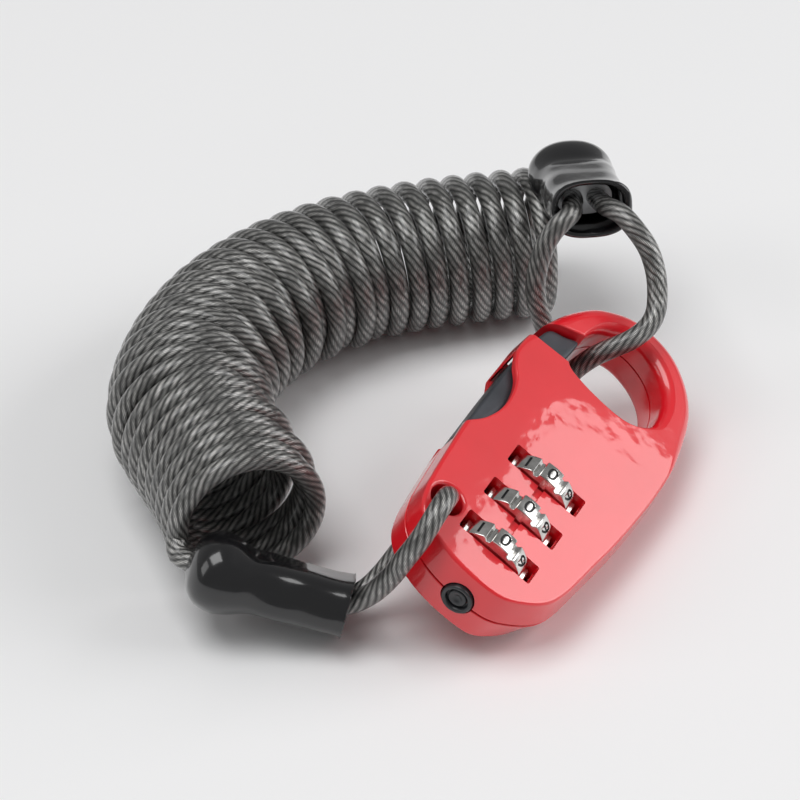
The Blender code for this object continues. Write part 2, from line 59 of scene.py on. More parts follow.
THUMB_SCOOP = [(-22, 27), (-15.4, 26.8), (-14.1, 23.6), (-12.5, 21), (-11.7, 17.6), (-11.8, 14),
               (-12.9, 10.5), (-14.6, 7.8), (-16, 5.4), (-22, 5)]
GATE_PIVOT = (-13.1, 5.6)
GATE_HALF = 3.3
GATE_OUTLINE = [(-13.1, 3.1), (-11, 3.9), (-10.3, 6), (-10.3, 9), (-10.9, 12.2), (-11, 14), (-10, 18.5),
                (-9.1, 24), (-8.5, 29), (-8.3, 33), (-8.1, 36), (-8.3, 38.3), (-10.5, 37.3), (-12.8, 36.3),
                (-13.6, 33.6), (-14.2, 30.6), (-14.4, 28), (-14.5, 25), (-14.6, 20), (-14.6, 12),
                (-14.6, 7), (-14.3, 4.2)]
GATE_CAVITY = [(-14.8, 34), (-14.8, 26.5), (-16.4, 24), (-16.4, 6), (-14.2, 3), (-13.6, 2.6), (-10.7, 3.2),
               (-9.4, 8), (-7.9, 13.5), (-5.8, 19), (-1.7, 29.4), (-1, 34)]
DIAL_CENTRES = [8.5, 0.0, -8.5]
DIAL_RADIUS = 6.6
GROOVE_RADIUS = 6.0
DIAL_HALF = 1.7
DIGITS = 10
WINDOW = (13.2, 4.1)
EYELET = (-10.1, -7.9)
EYELET_RADIUS = 2.6
PIVOT_BORE = 1.0
CASE_PINS = [(10.2, -8.6), (11.2, 14.5), (-8.6, -13.1)]

# ------------------------------------------------------------------ the cable, in world mm
CABLE_RADIUS = 1.6
COIL_HEIGHT = 12.15
TURN_RADIUS = 10.55
TURN_SPACING = 3.2
TURN_SPREAD = 0.62
TURN_STEP = 15
COIL_ROUTE = [(-27.24, 51.2), (-33.54, 46.7), (-42.74, 39.3), (-50.74, 30.6), (-56.54, 20.4), (-59.34, 9),
              (-58.64, -2.6), (-54.94, -12.8), (-48.34, -19.2), (-41.94, -24.6), (-36.04, -30.8)]
FAR_TURN = (-312, -32)
FAR_AHEAD = (1.9, 7.6)
NEAR_LEAD = [(-42.14, -39.6, 12.1), (-41.94, -40.5, 11.3), (-41.34, -41.3, 10.8), (-41.04, -41.6, 10.6)]
NEAR_LOOP = [(-21.54, -39, 7.4), (-18.64, -38.2, 6.9), (-15.74, -37.2, 6.9), (-12.34, -36.1, 9.4),
             (-9.54, -35.7, 13.2), (-7.24, -36, 17.4), (-5.04, -34.8, 21.4), (-4.24, -31.6, 23.7),
             (-4.34, -28.2, 23.8), (-5.24, -25.7, 22), (-6.74, -24.4, 19.2), (-8.44, -24.3, 16.2),
             (-10.44, -25.1, 13.2), (-12.34, -26.8, 10.4), (-13.74, -28.9, 7.9), (-15.24, -31.4, 6),
             (-17.34, -33.8, 4.9), (-19.94, -35.3, 4.9), (-22.74, -36.3, 5.5)]
FAR_LOOP = [(-15.84, 44.1, 28.1), (-14.94, 41.4, 29), (-13.74, 38.8, 29.7), (-13.54, 36.7, 30.1),
            (-14.54, 35, 29), (-15.74, 33.6, 26.5), (-16.34, 32, 23.2), (-16.24, 30.6, 19.8),
            (-15.34, 29.8, 16.6), (-14.14, 29.5, 13.8), (-13.14, 28.8, 11.6), (-12.04, 25.8, 10.2),
            (-9.94, 22.8, 9.7), (-7.24, 22.9, 10.7), (-5.14, 23, 13.2), (-2.84, 23.5, 15.5),
            (-0.34, 24.8, 17), (1.96, 26.4, 18.2), (3.36, 29, 19.2), (3.66, 31.2, 20.4), (3.16, 33.1, 22),
            (1.96, 35.2, 24.8), (-0.14, 36.9, 27.8), (-3.14, 38.1, 30.2), (-5.94, 39.2, 31.4),
            (-8.54, 40.6, 30.9), (-10.54, 43.3, 29.4), (-12.64, 46.1, 28.1)]
# The cable's start inside the near cap, for either side of the cap that it lies on
NEAR_START = {1: [(8.6, 1.95, 0.2), (13, 2.0, 0.1), (17, 1.95, 0)],
              -1: [(8.6, -1.95, 0.1), (13, -1.95, 0.1), (17, -1.95, 0.1)]}
CAPS = {"near": (Vector((-38.64, -42.9, 10.6)), Vector((-16.34, -35.9, 5.3)), Vector((0, 0.5, 0.87))),
        "far": (Vector((-23.44, 59.4, 22.4)), Vector((-11.14, 40.3, 30)), Vector((0, 0, 1)))}
# Distance along the cap, half width, half height
CAP_OUTSIDE = [(0, 2.2, 2), (0.7, 4.4, 3.9), (2.2, 6.2, 5.3), (4.6, 7, 5.9), (7.5, 6.8, 5.5),
               (11, 6.2, 4.8), (17, 6.1, 4.6), (23.6, 6.3, 4.7)]


# ------------------------------------------------------------------ small helpers
def smoothstep(low, high, x):
    t = min(1.0, max(0.0, (x - low) / (high - low)))
    return t * t * (3 - 2 * t)


def catmull_rom(points, per_span, closed=False):
    """Points along a smooth curve through the given ones."""
    points = [Vector(p) for p in points]
    count = len(points)
    curve = []
    for i in range(count if closed else count - 1):
        if closed:
            a, b, c, d = (points[(i + k) % count] for k in (-1, 0, 1, 2))
        else:
            a, b, c, d = (points[min(max(i + k, 0), count - 1)] for k in (-1, 0, 1, 2))
        for step in range(per_span):
            t = step / per_span
            curve.append(0.5 * (2 * b + (c - a) * t + (2 * a - 5 * b + 4 * c - d) * t ** 2
                                + (3 * b - a - 3 * c + d) * t ** 3))
    if not closed:
        curve.append(points[-1])
    return curve


def loft(rings):
    """A closed solid through a stack of rings, capped at both ends."""
    bm = bmesh.new()
    loops = [[bm.verts.new(p) for p in ring] for ring in rings]
    count = len(loops[0])
    for low, high in zip(loops, loops[1:]):
        for i in range(count):
            j = (i + 1) % count
            bm.faces.new((low[i], low[j], high[j], high[i]))
    bm.faces.new(list(reversed(loops[0])))
    bm.faces.new(loops[-1])
    return bm


def prism(outline, low, high):
    return loft([[(p[0], p[1], z) for p in outline] for z in (low, high)])


def lathe(profile, axis="Y", centre=(0, 0, 0), segments=96):
    rings = []
    for radius, along in profile:
        ring = []
        for k in range(segments):
            turn = 2 * math.pi * (k + 0.5) / segments
            u = radius * math.cos(turn)
            v = radius * math.sin(turn)
            local = Vector((v, along, u)) if axis == "Y" else Vector((u, v, along))
            ring.append(local + Vector(centre))
        rings.append(ring)
    return loft(rings)


def box(low, high):
    corners = [(low[0], low[1]), (high[0], low[1]), (high[0], high[1]), (low[0], high[1])]
    return prism(corners, low[2], high[2])


def place(name, bm, matrix=LOCK, material=None, sharp=35):
    """A bmesh in millimetres, drawn in the matrix's frame, as an object in world metres."""
    bmesh.ops.recalc_face_normals(bm, faces=bm.faces)
    bmesh.ops.transform(bm, matrix=Matrix.Scale(MM, 4) @ matrix, verts=bm.verts)
    mesh = bpy.data.meshes.new(name)
    bm.to_mesh(mesh)
    bm.free()
    if material:
        mesh.materials.append(material)
    if sharp is not None:
        mesh.shade_smooth()
        mesh.set_sharp_from_angle(angle=math.radians(sharp))
    item = bpy.data.objects.new(name, mesh)
    bpy.context.scene.collection.objects.link(item)
    return item


def freeze(item):
    """Apply an object's modifiers."""
    bpy.context.view_layer.update()
    graph = bpy.context.evaluated_depsgraph_get()
    mesh = bpy.data.meshes.new_from_object(item.evaluated_get(graph))
    item.modifiers.clear()
    item.data = mesh
    return item


def carve(item, cutters, transfer=False):
    """Cut shapes out of an object, then remove them.

    With transfer the cut takes the cutters' materials, and a cutter may cross itself.
    """
    for cutter in cutters:
        step = item.modifiers.new(cutter.name, "BOOLEAN")
        step.operation = "DIFFERENCE"
        step.solver = "EXACT"
        step.use_self = transfer
        step.object = cutter
        if transfer:
            step.material_mode = "TRANSFER"
    freeze(item)
    for cutter in cutters:
        bpy.data.objects.remove(cutter)
    return item


def even_normals(item, sharp=38):
    """Smooth shading that keeps flat faces flat and sharp edges sharp."""
    item.data.shade_smooth()
    item.data.set_sharp_from_angle(angle=math.radians(sharp))
    step = item.modifiers.new("even", "WEIGHTED_NORMAL")
    step.keep_sharp = True
    freeze(item)


# ------------------------------------------------------------------ materials
class Nodes:
    """A Principled material and short ways to add nodes to it."""

    def __init__(self, name, colour, roughness, metallic=0.0, **sockets):
        self.material = bpy.data.materials.new(name)
        self.material.use_nodes = True
        self.tree = self.material.node_tree
        self.shader = self.tree.nodes["Principled BSDF"]
        self.set("Base Color", (*colour, 1))
        self.set("Roughness", roughness)
        self.set("Metallic", metallic)
        for key, value in sockets.items():
            self.set(key.replace("_", " "), value)

    def set(self, socket, value):
        self.shader.inputs[socket].default_value = value

    def add(self, kind, **values):
        node = self.tree.nodes.new(kind)
        for key, value in values.items():
            if key in node.inputs:
                node.inputs[key].default_value = value
            else:
                setattr(node, key, value)
        return node

    def link(self, source, target):
        self.tree.links.new(source, target)

    def coords(self, kind="Object"):
        return self.add("ShaderNodeTexCoord").outputs[kind]

    def noise(self, scale, detail=3.0, roughness=0.5, vector=None, stretch=None):
        node = self.add("ShaderNodeTexNoise", Scale=scale, Detail=detail, Roughness=roughness)
        vector = vector or self.coords()
        if stretch:
            mapping = self.add("ShaderNodeMapping", Scale=stretch)
            self.link(vector, mapping.inputs["Vector"])
            vector = mapping.outputs["Vector"]
        self.link(vector, node.inputs["Vector"])
        return node.outputs["Fac"]

    def ramp(self, fac, *stops):
        node = self.add("ShaderNodeValToRGB")
        elements = node.color_ramp.elements
        while len(elements) < len(stops):
            elements.new(0.5)
        for element, (position, colour) in zip(elements, stops):
            element.position = position
            element.color = (*colour, 1) if len(colour) == 3 else colour
        self.link(fac, node.inputs["Fac"])
        return node.outputs["Color"]

    def spread(self, fac, low, high):
        node = self.add("ShaderNodeMapRange")
        node.inputs["To Min"].default_value = low
        node.inputs["To Max"].default_value = high
        self.link(fac, node.inputs["Value"])
        return node.outputs["Result"]

    def math(self, operation, a, b=None):
        node = self.add("ShaderNodeMath", operation=operation)
        for slot, value in enumerate((a, b)):
            if value is None:
                continue
            if isinstance(value, (int, float)):
                node.inputs[slot].default_value = value
            else:
                self.link(value, node.inputs[slot])
        return node.outputs["Value"]

    def bump(self, height, distance, strength=1.0, after=None):
        node = self.add("ShaderNodeBump", Strength=strength, Distance=distance)
        self.link(height, node.inputs["Height"])
        if after:
            self.link(after, node.inputs["Normal"])
        return node.outputs["Normal"]

    def into(self, socket, output):
        self.link(output, self.shader.inputs[socket])


def lacquer():
    m = Nodes("red_lacquer", (0.8, 0.006, 0.016), 0.35, 0.0, Coat_Weight=1.0, Coat_Roughness=0.03,
              Coat_IOR=1.55)
    broad = m.noise(170, 2.0)
    fine = m.noise(900, 2.0)
    colour = m.ramp(m.noise(60, 4.0), (0.3, (0.74, 0.005, 0.012)), (0.7, (0.84, 0.008, 0.02)))
    m.into("Base Color", colour)
    m.into("Roughness", m.spread(fine, 0.3, 0.42))
    wavy = m.bump(broad, 0.00006, 0.5)
    peel = m.bump(fine, 0.000004, 0.5, wavy)
    m.into("Normal", peel)
    m.into("Coat Normal", peel)
    return m.material


def nickel():
    m = Nodes("nickel_plate", (0.72, 0.71, 0.69), 0.2, 1.0)
    grain = m.noise(1, 4.0, 0.6, stretch=(900, 5200, 900))
    blotch = m.noise(420, 4.0)
    m.into("Base Color", m.ramp(blotch, (0.3, (0.5, 0.49, 0.47)), (0.65, (0.8, 0.79, 0.77))))
    m.into("Roughness", m.spread(blotch, 0.1, 0.3))
    m.into("Normal", m.bump(grain, 0.00001, 0.35))
    return m.material


def black_fill():
    m = Nodes("digit_fill", (0.01, 0.01, 0.011), 0.4)
    m.into("Roughness", m.spread(m.noise(1500, 3.0), 0.3, 0.6))
    m.into("Normal", m.bump(m.noise(2500, 3.0), 0.00002, 0.4))
    return m.material


def gate_finish():
    m = Nodes("gate_satin", (0.06, 0.065, 0.075), 0.42, 0.55)
    speck = m.noise(2600, 3.0)
    cloud = m.noise(120, 4.0)
    m.into("Base Color", m.ramp(cloud, (0.3, (0.045, 0.05, 0.058)), (0.7, (0.085, 0.092, 0.105))))
    m.into("Roughness", m.spread(speck, 0.34, 0.55))
    m.into("Normal", m.bump(speck, 0.000012, 0.5))
    return m.material


def button_finish():
    m = Nodes("button_black", (0.02, 0.021, 0.024), 0.3, 0.2, Coat_Weight=0.3, Coat_Roughness=0.2)
    m.into("Roughness", m.spread(m.noise(1500, 3.0), 0.24, 0.45))
    m.into("Normal", m.bump(m.noise(2600, 2.0), 0.00001, 0.4))
    return m.material


def bare_metal(name, colour, roughness, stretch=(2500, 2500, 2500)):
    m = Nodes(name, colour, roughness, 1.0)
    grain = m.noise(1, 3.0, 0.6, stretch=stretch)
    low = tuple(0.82 * c for c in colour)
    m.into("Base Color", m.ramp(m.noise(300, 3.0), (0.3, low), (0.7, colour)))
    m.into("Roughness", m.spread(grain, roughness * 0.7, roughness * 1.4))
    m.into("Normal", m.bump(grain, 0.000012, 0.4))
    return m.material


def vinyl():
    m = Nodes("black_vinyl", (0.007, 0.007, 0.008), 0.16, 0.0, Coat_Weight=0.6, Coat_Roughness=0.06)
    drape = m.noise(140, 2.0)
    peel = m.noise(1100, 2.0)
    m.into("Roughness", m.spread(m.noise(400, 3.0), 0.1, 0.26))
    wavy = m.bump(drape, 0.0004, 0.35)
    m.into("Normal", m.bump(peel, 0.00001, 0.5, wavy))
    m.into("Coat Normal", wavy)
    return m.material


# Strands in the rope, millimetres along it for one turn of a strand, wires seen round it, and
# the turns a wire makes in a millimetre
STRANDS = 9
LAY = 15.0
WIRES = 40
WIRE_TWIST = 0.9


def rope():
    """Wire rope seen through a clear, glossy sheath: strands round the cable, wires in them.

    The UV map holds millimetres along the cable in U and turns round it in V.
    """
    m = Nodes("wire_rope", (0.2, 0.2, 0.195), 0.36, 0.7, Coat_Weight=0.8, Coat_Roughness=0.1,
              Coat_IOR=1.5)
    uv = m.add("ShaderNodeSeparateXYZ")
    m.link(m.coords("UV"), uv.inputs["Vector"])
    along, round_ = uv.outputs["X"], uv.outputs["Y"]
    wobble = m.math("MULTIPLY", m.math("SUBTRACT", m.noise(300, 3.0), 0.5), 0.9)
    twist = m.math("MULTIPLY", along, STRANDS / LAY)
    phase = m.math("ADD", m.math("ADD", m.math("MULTIPLY", round_, STRANDS), twist), wobble)
    strand = m.math("ABSOLUTE", m.math("SINE", m.math("MULTIPLY", phase, math.pi)))
    rounded = m.math("POWER", strand, 0.5)
    wires = m.math("ADD", m.math("MULTIPLY", round_, WIRES), m.math("MULTIPLY", along, WIRE_TWIST))
    wires = m.math("ADD", wires, m.math("MULTIPLY", wobble, 2.5))
    wire = m.math("ABSOLUTE", m.math("SINE", m.math("MULTIPLY", wires, math.pi)))
    height = m.math("ADD", rounded, m.math("MULTIPLY", wire, 0.3))
    glint = m.noise(700, 4.0)
    # Painted shade and highlight: the base colour is darker in the valleys between strands and wires,
    # lighter on their crests, and brighter where the glint noise is high, standing for glints off the wires
    painted_light_level = m.math("MULTIPLY", m.math("ADD", m.math("MULTIPLY", rounded, 0.6),
                                      m.math("MULTIPLY", m.math("MULTIPLY", wire, rounded), 0.4)),
                   m.spread(glint, 0.55, 1.35))
    m.into("Base Color", m.ramp(painted_light_level, (0.2, (0.03, 0.03, 0.029)), (0.55, (0.1, 0.1, 0.097)),
                                (0.8, (0.21, 0.208, 0.2)), (1.0, (0.55, 0.54, 0.52))))
    m.into("Roughness", m.spread(glint, 0.25, 0.5))
    m.into("Normal", m.bump(height, 0.00022, 0.7))
    return m.material


def floor_material():
    m = Nodes("paper", (0.9, 0.9, 0.905), 0.6)
    m.into("Base Color", m.ramp(m.noise(8, 2.0), (0.3, (0.895, 0.895, 0.9)), (0.7, (0.905, 0.905, 0.91))))
    m.set("Specular IOR Level", 0.2)
    return m.material


RED = lacquer()
NICKEL = nickel()
FILL = black_fill()
GATE = gate_finish()
BUTTON = button_finish()
STEEL = bare_metal("bright_steel", (0.56, 0.57, 0.59), 0.28)
BRASS = bare_metal("turned_brass", (0.72, 0.5, 0.22), 0.26, (900, 6000, 900))
ALUMINIUM = bare_metal("crimped_aluminium", (0.72, 0.73, 0.74), 0.38)
ROPE = rope()
VINYL = vinyl()

for names, material in (
        (("hub_1", "hub_2", "hub_3", "spacer_1", "spacer_2"), BRASS),
        (("spindle", "spindle_spring", "detent_leaf", "gate_pivot_pin", "gate_spring",
          "locking_comb", "case_pin_1", "case_pin_2", "case_pin_3"), STEEL),
        (("near_ferrule", "far_ferrule"), ALUMINIUM)):
    for name in names:
        NODES[name].data.materials.clear()
        NODES[name].data.materials.append(material)


# ------------------------------------------------------------------ shells
# How far a cutter reaches past the seam plane, and the steps round a hole's rounded rim
CUT_REACH = 9
RIM_ARC = [math.radians(a) for a in (0, 16, 32, 48, 64, 80)]


def wall_draft(point, side):
    """How far a shell's wall leans in: little on the left, most at the back's right edge."""
    if side > 0:
        return 0.2 + 0.6 * smoothstep(-13, -7, point.x)
    return 0.2 + 1.75 * smoothstep(4, 15, point.x)


def shell_blank(name, side):
    """One shell before cutting, its edge rolled over more on the hook than on the body."""
    outline = catmull_rom(OUTLINE, 12, closed=True)
    count = len(outline)
    face = FACE_Z if side > 0 else BACK_Z
    arc = 9
    rings = [[] for _ in range(arc + 3)]
    for i, point in enumerate(outline):
        tangent = (outline[(i + 1) % count] - outline[i - 1]).normalized()
        inward = Vector((-tangent.y, tangent.x))
        roll = 0.6 + 1.7 * smoothstep(27, 37, point.y)
        wall = wall_draft(point, side)
        profile = [(0.1, side * SEAM), (0, side * (SEAM + 0.1))]
        for k in range(arc + 1):
            turn = math.pi / 2 * k / arc
            profile.append((wall + roll * (1 - math.cos(turn)),
                            face - side * roll * (1 - math.sin(turn))))
        for ring, (offset, z) in zip(rings, profile):
            p = point + inward * offset
            ring.append((p.x, p.y, z))
    return place(name, loft(rings), material=RED)


def flared(outline, rim):
    """A cutter whose hole widens over a rounded rim at each face; rim gives its radius at a point."""
    outline = [Vector(p) for p in outline]
    count = len(outline)
    rings = [[] for _ in range(2 * len(RIM_ARC) + 2)]
    for i, point in enumerate(outline):
        tangent = (outline[(i + 1) % count] - outline[i - 1]).normalized()
        outward = Vector((tangent.y, -tangent.x))
        radius = rim(point)
        widest = radius * (1 - math.cos(RIM_ARC[-1]))
        front = [(radius * (1 - math.cos(a)), FACE_Z - radius * (1 - math.sin(a))) for a in RIM_ARC]
        back = [(radius * (1 - math.cos(a)), BACK_Z + radius * (1 - math.sin(a))) for a in RIM_ARC]
        front.append((widest, CUT_REACH))
        back.append((widest, -CUT_REACH))
        for ring, (offset, z) in zip(rings, back[::-1] + front):
            p = point + outward * offset
            ring.append((p.x, p.y, z))
    return loft(rings)


def split(outline, step):
    """The same polygon with extra points along its edges."""
    result = []
    for a, b in zip(outline, outline[1:] + outline[:1]):
        a, b = Vector(a), Vector(b)
        pieces = max(1, round((b - a).length / step))
        result += [a.lerp(b, k / pieces) for k in range(pieces)]
    return result


def rounded_slot(length, width, y, corner=0.35, arc=4):
    """A rectangle with rounded corners, anticlockwise."""
    points = []
    for cx, cy, start in ((1, 1, 0), (-1, 1, 90), (-1, -1, 180), (1, -1, 270)):
        for k in range(arc + 1):
            turn = math.radians(start + 90 * k / arc)
            points.append((cx * (length / 2 - corner) + corner * math.cos(turn),
                           y + cy * (width / 2 - corner) + corner * math.sin(turn)))
    return split(points, 1.2)


def hole_rim(point):
    """The shackle's hole is crisp against the body and well rounded on the hook's arm."""
    return 0.4 + 1.5 * max(smoothstep(33, 38, point.y) * smoothstep(-9, -5, point.x),
                           smoothstep(5, 8, point.x) * smoothstep(31, 35, point.y))


def shell_cutters():
    cutters = []

    def cutter(name, bm):
        cutters.append(place("cut_" + name, bm, sharp=None))

    cutter("hole", flared(catmull_rom(HOLE, 12, closed=True), hole_rim))
    cutter("gap", flared(split(GATE_GAP, 0.9), lambda point: 0.3))
    scoop = [THUMB_SCOOP[0], *[tuple(p) for p in catmull_rom(THUMB_SCOOP[1:-1], 10)],
             THUMB_SCOOP[-1]]
    cutter("scoop", flared(list(reversed(scoop)), lambda point: 0.4))
    cutter("cavity", prism(GATE_CAVITY, -3.6, 3.6))
    for i, y in enumerate(DIAL_CENTRES):
        half = WINDOW[1] / 2
        cutter(f"pocket_{i}", lathe([(7.1, y - half), (7.1, y + half)]))
        for label, low, high in (("front", 3, CUT_REACH), ("back", -CUT_REACH, -3)):
            cutter(f"window_{label}_{i}", prism(rounded_slot(*WINDOW, y), low, high))
    for label, y in (("a", 4.25), ("b", -4.25)):
        cutter(f"index_{label}", box((-0.55, y - 3, FACE_Z - 0.45), (0.55, y + 3, FACE_Z + 1)))
    cutter("chamber", lathe([(3.8, -14.9), (3.8, 18.6)]))
    cutter("button", lathe([(2.65, -22), (2.65, -14.4)]))
    for i, (x, y) in enumerate(CASE_PINS):
        cutter(f"pin_{i}", lathe([(1.2, -3.8), (1.2, 3.8)], "Z", (x, y, 0), 48))
    cutter("pivot", lathe([(PIVOT_BORE, -4.1), (PIVOT_BORE, 4.1)], "Z", (*GATE_PIVOT, 0), 48))
    cutter("leaf", box((6.8, -11.5, -3.3), (8.15, 11.5, 3.3)))
    cutter("comb", box((-10.2, -5.1, -1.4), (-3, 13.5, 1.4)))
    eyelet = [(EYELET[0] + EYELET_RADIUS * math.cos(math.radians(5 * k)),
               EYELET[1] + EYELET_RADIUS * math.sin(math.radians(5 * k))) for k in range(72)]
    cutter("eyelet", flared(eyelet, lambda point: 0.6))
    return cutters


for node, side in (("top_shell", 1), ("bottom_shell", -1)):
    shell = shell_blank(node + "_lacquered", side)
    carve(shell, shell_cutters())
    even_normals(shell)
    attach(shell, "case")
    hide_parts(node)


# ------------------------------------------------------------------ dials
def digit_cutters():
    """The ten digits as closed solids bent round the dial, reading towards the hook."""
    bm = bmesh.new()
    for digit in range(DIGITS):
        text = bpy.data.curves.new(f"digit_{digit}", "FONT")
        text.body = str(digit)
        text.size = 3.3
        text.extrude = 0.3
        text.offset = 0.035
        text.align_x = "CENTER"
        text.align_y = "CENTER"
        text.resolution_u = 5
        holder = bpy.data.objects.new(f"digit_{digit}", text)
        bpy.context.scene.collection.objects.link(holder)
        bpy.context.view_layer.update()
        graph = bpy.context.evaluated_depsgraph_get()
        mesh = bpy.data.meshes.new_from_object(holder.evaluated_get(graph))
        bpy.data.objects.remove(holder)
        bpy.data.curves.remove(text)
        middle = -digit * 2 * math.pi / DIGITS
        low = min(v.co.y for v in mesh.vertices)
        high = max(v.co.y for v in mesh.vertices)
        for v in mesh.vertices:
            turn = middle + v.co.x * 1.05 / DIAL_RADIUS
            radius = DIAL_RADIUS + 0.12 + v.co.z
            v.co = (radius * math.sin(turn), v.co.y - (low + high) / 2, radius * math.cos(turn))
        bm.from_mesh(mesh)
        bpy.data.meshes.remove(mesh)
    bmesh.ops.remove_doubles(bm, verts=bm.verts, dist=0.001)
    return bm


def dial_wheel():
    """A wheel of ten number blocks with rounded crests and deep grooves between them."""
    pad = 2 * math.pi / DIGITS
    shape = [(-0.5, GROOVE_RADIUS - 0.1), (-0.44, GROOVE_RADIUS - 0.08), (-0.415, GROOVE_RADIUS),
             (-0.375, DIAL_RADIUS - 0.12), (-0.355, DIAL_RADIUS - 0.03)]
    shape += [(t / 20, DIAL_RADIUS) for t in range(-6, 7)]
    shape += [(0.355, DIAL_RADIUS - 0.03), (0.375, DIAL_RADIUS - 0.12), (0.415, GROOVE_RADIUS),
              (0.44, GROOVE_RADIUS - 0.08)]
    rings = []
    for shrink, y in ((0.22, -DIAL_HALF), (0.06, -DIAL_HALF + 0.06), (0, -DIAL_HALF + 0.2),
                      (0, DIAL_HALF - 0.2), (0.06, DIAL_HALF - 0.06), (0.22, DIAL_HALF)):
        rings.append([((r - shrink) * math.sin((k + t) * pad), y, (r - shrink) * math.cos((k + t) * pad))
                      for k in range(DIGITS) for t, r in shape])
    return loft(rings)


plain = Matrix.Identity(4)
wheel = place("dial_blank", dial_wheel(), plain, NICKEL)
wheel.data.materials.append(FILL)
glyphs = place("cut_digits", digit_cutters(), plain, FILL, sharp=None)
bore = place("cut_bore", lathe([(2.85, -3), (2.85, 3)]), plain, NICKEL, sharp=None)
counter = place("cut_counter", lathe([(3.4, 0.05), (3.4, 3)]), plain, NICKEL, sharp=None)
carve(wheel, [glyphs, bore, counter], transfer=True)
wheel.data.shade_smooth()
wheel.data.set_sharp_from_angle(angle=math.radians(32))
for index, y in enumerate(DIAL_CENTRES, 1):
    mesh = wheel.data.copy()
    mesh.transform(Matrix.Scale(MM, 4) @ LOCK @ Matrix.Translation((0, y, 0)) @ Matrix.Scale(1 / MM, 4))
    mesh.name = f"dial_{index}_wheel"
    dial = bpy.data.objects.new(f"dial_{index}_wheel", mesh)
    bpy.context.scene.collection.objects.link(dial)
    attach(dial, f"dial_{index}_body")
    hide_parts(f"dial_{index}")
bpy.data.objects.remove(wheel)


# ------------------------------------------------------------------ reset button and gate
profile = [(0.05, -17.12), (0.35, -17.14), (0.62, -17.3), (0.85, -17.42), (1.22, -17.46), (1.36, -17.4),
           (1.44, -17.2), (1.5, -17.05), (1.66, -17.05), (1.72, -17.3), (1.78, -17.6), (1.9, -17.72),
           (2.2, -17.8), (2.36, -17.74), (2.44, -17.6), (2.45, -17.4), (2.45, -14.6), (3.3, -14.6),
           (3.3, -13.8)]
button = place("reset_button_cap", lathe(profile), material=BUTTON, sharp=50)
bore = place("cut_stem", lathe([(1.6, -15.3), (1.6, -12)]), sharp=None)
carve(button, [bore])
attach(button, "reset_spindle")
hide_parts("reset_button")

outline = catmull_rom(GATE_OUTLINE, 8, closed=True)
count = len(outline)
levels = [(0.45 * (1 - math.cos(t * math.pi / 12)), GATE_HALF - 0.45 * (1 - math.sin(t * math.pi / 12)))
          for t in range(7)]
levels = [(offset, -z) for offset, z in reversed(levels)] + levels
rings = []
for offset, z in levels:
    ring = []
    for i, point in enumerate(outline):
        tangent = (outline[(i + 1) % count] - outline[i - 1]).normalized()
        p = point + offset * Vector((-tangent.y, tangent.x))
        ring.append((p.x, p.y, z))
    rings.append(ring)
gate = place("gate_lever", loft(rings), material=GATE)
bore = place("cut_pivot", lathe([(PIVOT_BORE, -6), (PIVOT_BORE, 6)], "Z", (*GATE_PIVOT, 0), 48), sharp=None)
pocket = place("cut_pocket", lathe([(2.0, -1), (2.0, 1)], "Z", (*GATE_PIVOT, 0), 48), sharp=None)
carve(gate, [bore, pocket])
gate.data.shade_smooth()
gate.data.set_sharp_from_angle(angle=math.radians(35))
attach(gate, "gate_body")
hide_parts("gate")


# ------------------------------------------------------------------ caps
def frame_along(start, end, up):
    x = (end - start).normalized()
    y = up.cross(x).normalized()
    matrix = Matrix((x, y, x.cross(y))).transposed().to_4x4()
    matrix.translation = start
    return matrix


def cap_ring(x, width, height, inner=False, count=96):
    """A ring of the dipped cap, pinched a little between the two cable strands inside it."""
    ring = []
    closed_end = 1 - smoothstep(3, 9, x)
    body = smoothstep(7, 12, x)
    for k in range(count):
        turn = 2 * math.pi * k / count
        c, s = math.cos(turn), math.sin(turn)
        power = 2.2 + 0.5 * body
        y = math.copysign(abs(c) ** (2 / power), c)
        z = math.copysign(abs(s) ** (2 / power), s)
        pinch = 1 - 0.1 * body * abs(s) ** 6
        sag = 0.12 * math.sin(0.5 * x + 1.4 * c + 0.6) + 0.08 * math.sin(0.9 * x - 2.2 * s)
        if inner:
            sag = 0
            pinch = 1
        dent = 1 - 0.12 * (1 - closed_end) * math.exp(-((x - 9) / 2) ** 2) * max(0, s) ** 2
        ring.append(Vector((x, (width + sag) * y, (height * pinch * dent + 0.7 * sag) * z)))
    return ring


def cap_shape():
    first = cap_ring(*CAP_OUTSIDE[0])
    rings = [[Vector((-0.3, p.y * 0.02, p.z * 0.02)) for p in first],
             [Vector((-0.24, p.y * 0.55, p.z * 0.55)) for p in first]]
    rings += [cap_ring(*section) for section in catmull_rom(CAP_OUTSIDE, 6)]
    lip = [(23.85, 6.23, 4.65), (23.98, 6.0, 4.45), (23.98, 5.7, 4.2), (23.85, 5.45, 3.98),
           (23.6, 5.25, 3.8), (22, 5.15, 3.7), (20, 5.05, 3.6), (14, 4.95, 3.5), (7.5, 4.8, 3.4)]
    rings += [cap_ring(*section, inner=True) for section in lip]
    return loft(rings)


for label, (closed, mouth, up) in CAPS.items():
    cap = place(f"{label}_dipped_cap", cap_shape(), frame_along(closed, mouth, up), VINYL, sharp=60)
    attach(cap, "case")
    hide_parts(f"{label}_cap")


